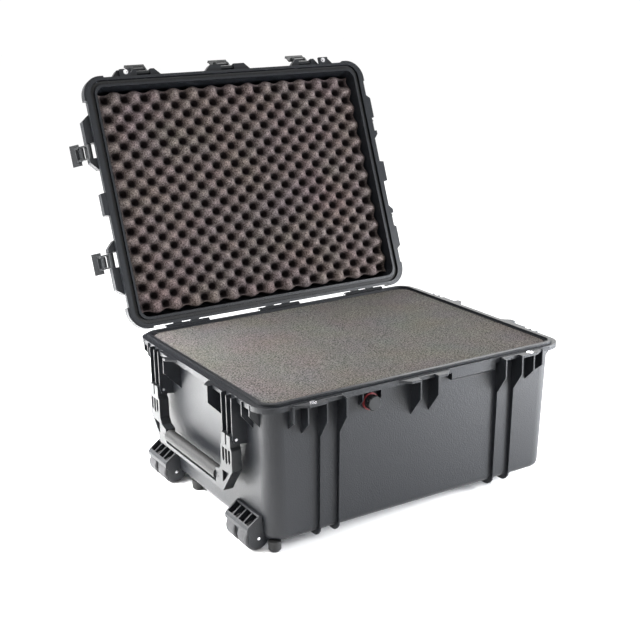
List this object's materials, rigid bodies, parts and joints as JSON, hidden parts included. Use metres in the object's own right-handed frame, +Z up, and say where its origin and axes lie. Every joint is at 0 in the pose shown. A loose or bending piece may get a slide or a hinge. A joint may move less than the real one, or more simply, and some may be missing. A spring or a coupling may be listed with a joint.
{
  "type": "hard equipment case",
  "caption": "Large wheeled hard case, lid open: ribbed tub, hinged lid with latches, fold-down handles, foam block below and egg-crate foam in the lid.",
  "frame": {"origin": "on the floor, below the centre of the whole case's bounding box with the lid open", "axes": "+Z up; +X along the long side, away from the wheels; the latched front faces -Y and the hinges are on the +Y side"},
  "size_m": [0.8318, 0.8913, 0.8763],
  "materials": {
    "case_black": "fine moulded grain, satin",
    "latch_black": "smooth moulding, satin",
    "grip_black": "matte",
    "seal_black": "matte",
    "foot_black": "matte",
    "tyre_grey": "matte",
    "hub_grey": "matte",
    "steel": "satin",
    "seal_red": "satin",
    "foam_grey": "open-celled, matte",
    "foam_lid_grey": "open-celled, matte"
  },
  "bodies": {
    "base": {"base_shell": "case_black", "hinge_pins": "steel", "padlock_eyes_base": "steel", "handle_pins": "steel", "wheel_housing_front": "case_black", "wheel_housing_rear": "case_black", "wheel_axles": "steel", "housing_screws": "steel", "rubber_feet": "foot_black", "valve_seal_ring": "seal_red", "valve_body": "latch_black", "valve_nut": "latch_black", "foam_base_pad": "foam_grey", "foam_block_lower": "foam_grey", "foam_block_upper": "foam_grey"},
    "lid": {"lid_shell": "case_black", "lid_gasket": "seal_black", "padlock_eyes_lid": "steel", "latch_lever_pins": "steel", "foam_lid": "foam_lid_grey"},
    "latch_lever_front_left": {"latch_lever_front_left": "latch_black", "hook_pin_front_left": "steel"},
    "latch_hook_front_left": {"latch_hook_front_left": "latch_black"},
    "latch_lever_front_middle": {"latch_lever_front_middle": "latch_black", "hook_pin_front_middle": "steel"},
    "latch_hook_front_middle": {"latch_hook_front_middle": "latch_black"},
    "latch_lever_front_right": {"latch_lever_front_right": "latch_black", "hook_pin_front_right": "steel"},
    "latch_hook_front_right": {"latch_hook_front_right": "latch_black"},
    "latch_lever_left_front": {"latch_lever_left_front": "latch_black", "hook_pin_left_front": "steel"},
    "latch_hook_left_front": {"latch_hook_left_front": "latch_black"},
    "latch_lever_left_rear": {"latch_lever_left_rear": "latch_black", "hook_pin_left_rear": "steel"},
    "latch_hook_left_rear": {"latch_hook_left_rear": "latch_black"},
    "latch_lever_right_front": {"latch_lever_right_front": "latch_black", "hook_pin_right_front": "steel"},
    "latch_hook_right_front": {"latch_hook_right_front": "latch_black"},
    "latch_lever_right_rear": {"latch_lever_right_rear": "latch_black", "hook_pin_right_rear": "steel"},
    "latch_hook_right_rear": {"latch_hook_right_rear": "latch_black"},
    "handle_left": {"handle_frame_left": "latch_black", "handle_grip_left": "grip_black"},
    "handle_right": {"handle_frame_right": "latch_black", "handle_grip_right": "grip_black"},
    "wheel_front_outer": {"wheel_hub_front_outer": "hub_grey", "wheel_tyre_front_outer": "tyre_grey"},
    "wheel_front_inner": {"wheel_hub_front_inner": "hub_grey", "wheel_tyre_front_inner": "tyre_grey"},
    "wheel_rear_inner": {"wheel_hub_rear_inner": "hub_grey", "wheel_tyre_rear_inner": "tyre_grey"},
    "wheel_rear_outer": {"wheel_hub_rear_outer": "hub_grey", "wheel_tyre_rear_outer": "tyre_grey"},
    "valve_knob": {"valve_knob": "latch_black"}
  },
  "joints": [
    {"name": "lid_hinge", "type": "hinge", "parent": "base", "child": "lid", "pos_m": [0, 0.1564, 0.311], "axis": [1, 0, 0], "range_deg": [0, 111]},
    {"name": "latch_lever_front_left", "type": "hinge", "parent": "lid", "child": "latch_lever_front_left", "pos_m": [-0.219, 0.38995, 0.86082], "axis": [1, 0, 0], "range_deg": [0, 130]},
    {"name": "latch_hook_front_left", "type": "hinge", "parent": "latch_lever_front_left", "child": "latch_hook_front_left", "pos_m": [-0.219, 0.40851, 0.86654], "axis": [1, 0, 0], "range_deg": [0, 50]},
    {"name": "latch_lever_front_middle", "type": "hinge", "parent": "lid", "child": "latch_lever_front_middle", "pos_m": [0, 0.38995, 0.86082], "axis": [1, 0, 0], "range_deg": [0, 130]},
    {"name": "latch_hook_front_middle", "type": "hinge", "parent": "latch_lever_front_middle", "child": "latch_hook_front_middle", "pos_m": [0, 0.40851, 0.86654], "axis": [1, 0, 0], "range_deg": [0, 50]},
    {"name": "latch_lever_front_right", "type": "hinge", "parent": "lid", "child": "latch_lever_front_right", "pos_m": [0.219, 0.38995, 0.86082], "axis": [1, 0, 0], "range_deg": [0, 130]},
    {"name": "latch_hook_front_right", "type": "hinge", "parent": "latch_lever_front_right", "child": "latch_hook_front_right", "pos_m": [0.219, 0.40851, 0.86654], "axis": [1, 0, 0], "range_deg": [0, 50]},
    {"name": "latch_lever_left_front", "type": "hinge", "parent": "lid", "child": "latch_lever_left_front", "pos_m": [-0.384, 0.32795, 0.69931], "axis": [0, 0.3584, 0.9336], "range_deg": [0, 130]},
    {"name": "latch_hook_left_front", "type": "hinge", "parent": "latch_lever_left_front", "child": "latch_hook_left_front", "pos_m": [-0.39598, 0.34222, 0.69384], "axis": [0, 0.3584, 0.9336], "range_deg": [0, 50]},
    {"name": "latch_lever_left_rear", "type": "hinge", "parent": "lid", "child": "latch_lever_left_rear", "pos_m": [-0.384, 0.23764, 0.46405], "axis": [0, 0.3584, 0.9336], "range_deg": [0, 130]},
    {"name": "latch_hook_left_rear", "type": "hinge", "parent": "latch_lever_left_rear", "child": "latch_hook_left_rear", "pos_m": [-0.39598, 0.25191, 0.45858], "axis": [0, 0.3584, 0.9336], "range_deg": [0, 50]},
    {"name": "latch_lever_right_front", "type": "hinge", "parent": "lid", "child": "latch_lever_right_front", "pos_m": [0.384, 0.32795, 0.69931], "axis": [0, -0.3584, -0.9336], "range_deg": [0, 130]},
    {"name": "latch_hook_right_front", "type": "hinge", "parent": "latch_lever_right_front", "child": "latch_hook_right_front", "pos_m": [0.39598, 0.34222, 0.69384], "axis": [0, -0.3584, -0.9336], "range_deg": [0, 50]},
    {"name": "latch_lever_right_rear", "type": "hinge", "parent": "lid", "child": "latch_lever_right_rear", "pos_m": [0.384, 0.23764, 0.46405], "axis": [0, -0.3584, -0.9336], "range_deg": [0, 130]},
    {"name": "latch_hook_right_rear", "type": "hinge", "parent": "latch_lever_right_rear", "child": "latch_hook_right_rear", "pos_m": [0.39598, 0.25191, 0.45858], "axis": [0, -0.3584, -0.9336], "range_deg": [0, 50]},
    {"name": "handle_left", "type": "hinge", "parent": "base", "child": "handle_left", "pos_m": [-0.377, -0.1416, 0.224], "axis": [0, 1, 0], "range_deg": [0, 90]},
    {"name": "handle_right", "type": "hinge", "parent": "base", "child": "handle_right", "pos_m": [0.377, -0.1416, 0.224], "axis": [0, -1, 0], "range_deg": [0, 90]},
    {"name": "wheel_front_outer", "type": "hinge", "parent": "base", "child": "wheel_front_outer", "pos_m": [-0.359, -0.3556, 0.027], "axis": [0, 1, 0], "continuous": true},
    {"name": "wheel_front_inner", "type": "hinge", "parent": "base", "child": "wheel_front_inner", "pos_m": [-0.359, -0.3056, 0.027], "axis": [0, 1, 0], "continuous": true},
    {"name": "wheel_rear_inner", "type": "hinge", "parent": "base", "child": "wheel_rear_inner", "pos_m": [-0.359, 0.0224, 0.027], "axis": [0, 1, 0], "continuous": true},
    {"name": "wheel_rear_outer", "type": "hinge", "parent": "base", "child": "wheel_rear_outer", "pos_m": [-0.359, 0.0724, 0.027], "axis": [0, 1, 0], "continuous": true},
    {"name": "valve_knob_turn", "type": "hinge", "parent": "base", "child": "valve_knob", "pos_m": [-0.126, -0.4216, 0.279], "axis": [0, -1, 0], "range_deg": [-180, 180]}
  ],
  "couplings": [
    {"joint": "latch_hook_front_left", "follows": "latch_lever_front_left", "ratio": 0.38462},
    {"joint": "latch_hook_front_middle", "follows": "latch_lever_front_middle", "ratio": 0.38462},
    {"joint": "latch_hook_front_right", "follows": "latch_lever_front_right", "ratio": 0.38462},
    {"joint": "latch_hook_left_front", "follows": "latch_lever_left_front", "ratio": 0.38462},
    {"joint": "latch_hook_left_rear", "follows": "latch_lever_left_rear", "ratio": 0.38462},
    {"joint": "latch_hook_right_front", "follows": "latch_lever_right_front", "ratio": 0.38462},
    {"joint": "latch_hook_right_rear", "follows": "latch_lever_right_rear", "ratio": 0.38462}
  ]
}
